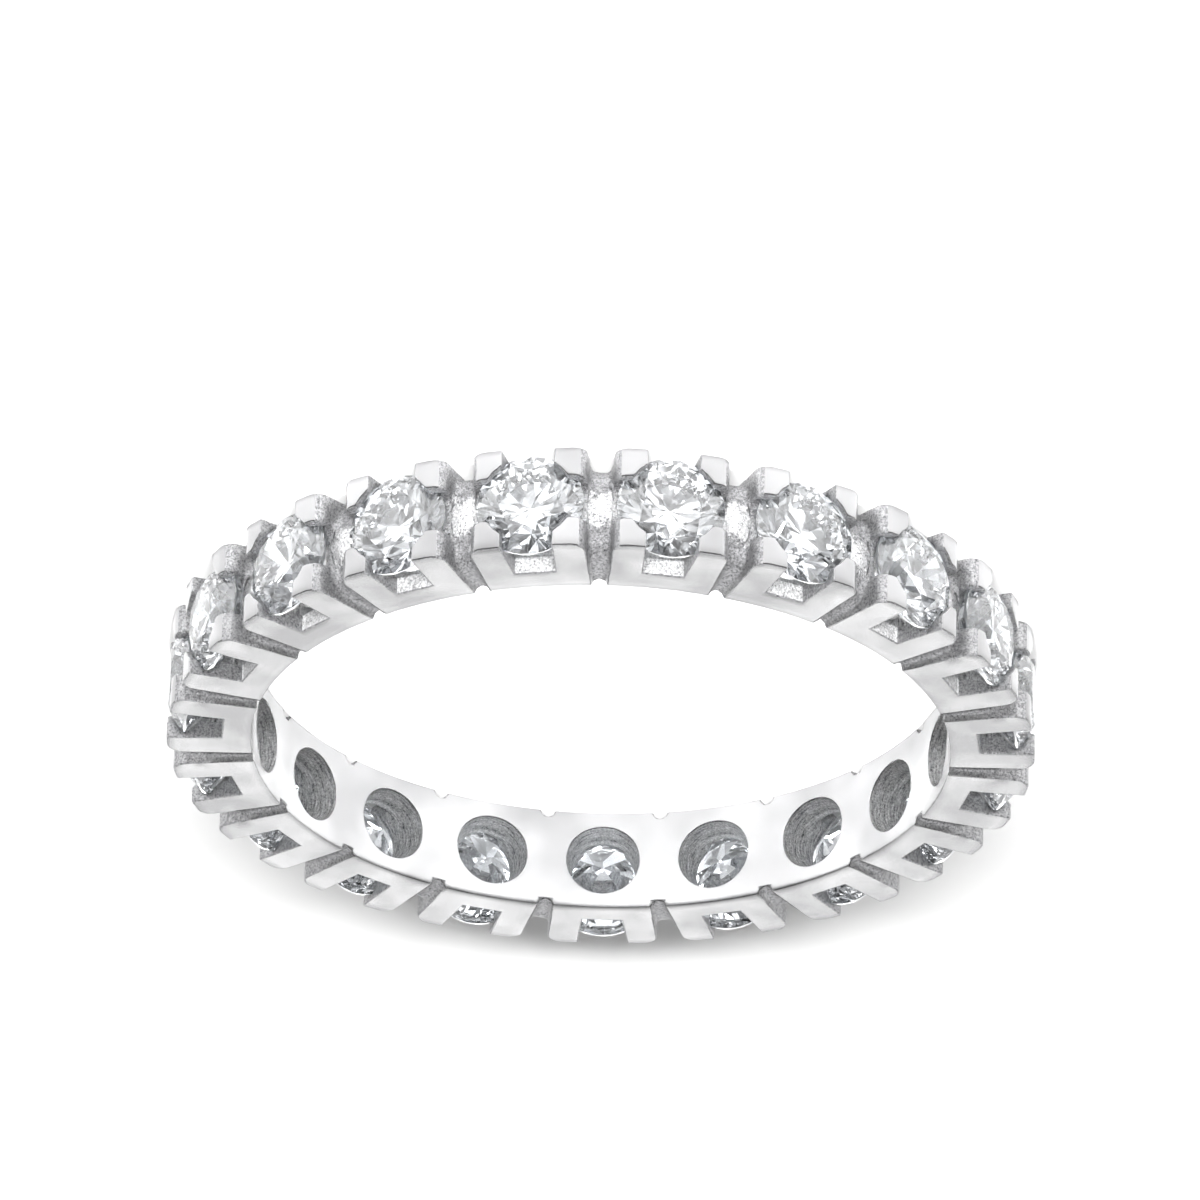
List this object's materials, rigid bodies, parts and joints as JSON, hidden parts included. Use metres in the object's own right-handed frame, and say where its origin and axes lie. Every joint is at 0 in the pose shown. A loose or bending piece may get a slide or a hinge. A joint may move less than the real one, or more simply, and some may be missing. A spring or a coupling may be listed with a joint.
{
  "type": "eternity ring",
  "caption": "Full eternity ring: a claw-set white metal band of box-shaped heads, each with a round brilliant stone, pierced through to the finger hole.",
  "frame": {"origin": "on the finger's axis, at the side face that the ring rests on", "axes": "+Z along the finger's axis, up from the rest face; +Y towards the first stone"},
  "size_m": [0.0212, 0.0212, 0.0026],
  "materials": {
    "setting": "polished, with as-cast texture in the grooves, slots and drilled holes",
    "stone": "polished facets"
  },
  "bodies": {
    "root": {"setting": "setting", "stone_01": "stone", "stone_02": "stone", "stone_03": "stone", "stone_04": "stone", "stone_05": "stone", "stone_06": "stone", "stone_07": "stone", "stone_08": "stone", "stone_09": "stone", "stone_10": "stone", "stone_11": "stone", "stone_12": "stone", "stone_13": "stone", "stone_14": "stone", "stone_15": "stone", "stone_16": "stone", "stone_17": "stone", "stone_18": "stone", "stone_19": "stone"}
  },
  "joints": []
}
